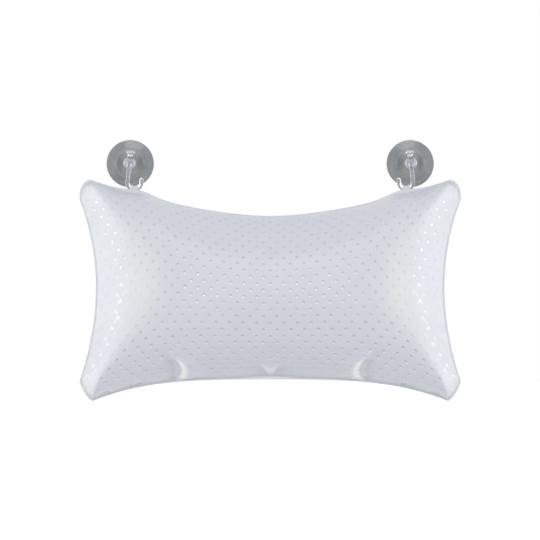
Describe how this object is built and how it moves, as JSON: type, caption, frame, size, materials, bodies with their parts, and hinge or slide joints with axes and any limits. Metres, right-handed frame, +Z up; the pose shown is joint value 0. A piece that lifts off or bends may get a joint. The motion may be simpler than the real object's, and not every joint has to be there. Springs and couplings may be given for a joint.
{
  "type": "bath pillow",
  "caption": "Stuffed, embossed vinyl bath pillow with a welded seam and spread corners, hung by strap loops from the J hooks of suction cups.",
  "frame": {"origin": "on the wall, midway between the centres of the suction cups", "axes": "+X to the right along the line of the cups as seen from the front, +Y into the wall, +Z up; the front of the cushion faces -Y"},
  "size_m": [0.3198, 0.0888, 0.2171],
  "materials": {
    "white_vinyl": "satin, embossed with small diamond dimples",
    "fibre": "loose white fibre",
    "soft_clear_vinyl": "glossy, see-through grey",
    "clear_plastic": "clear, polished"
  },
  "bodies": {
    "suction_cups": {"suction_cup_left": "soft_clear_vinyl", "suction_cup_right": "soft_clear_vinyl"},
    "hook_left": {"hook_left": "clear_plastic"},
    "hook_right": {"hook_right": "clear_plastic"},
    "pillow": {"front_cover": "white_vinyl", "back_cover": "white_vinyl", "filling": "fibre", "hanging_loop_left": "white_vinyl", "hanging_loop_right": "white_vinyl"}
  },
  "joints": [
    {"name": "pillow_swing", "type": "hinge", "parent": "suction_cups", "child": "pillow", "pos_m": [0, -0.012, -0.02203], "axis": [-1, 0, 0], "range_deg": [0, 60]},
    {"name": "hook_left_turn", "type": "hinge", "parent": "suction_cups", "child": "hook_left", "pos_m": [-0.11835, -0.012, 0], "axis": [0.1063, 0, 0.9943], "range_deg": [-3, 3]},
    {"name": "hook_right_turn", "type": "hinge", "parent": "suction_cups", "child": "hook_right", "pos_m": [0.11835, -0.012, 0], "axis": [-0.1063, 0, 0.9943], "range_deg": [-3, 3]}
  ]
}
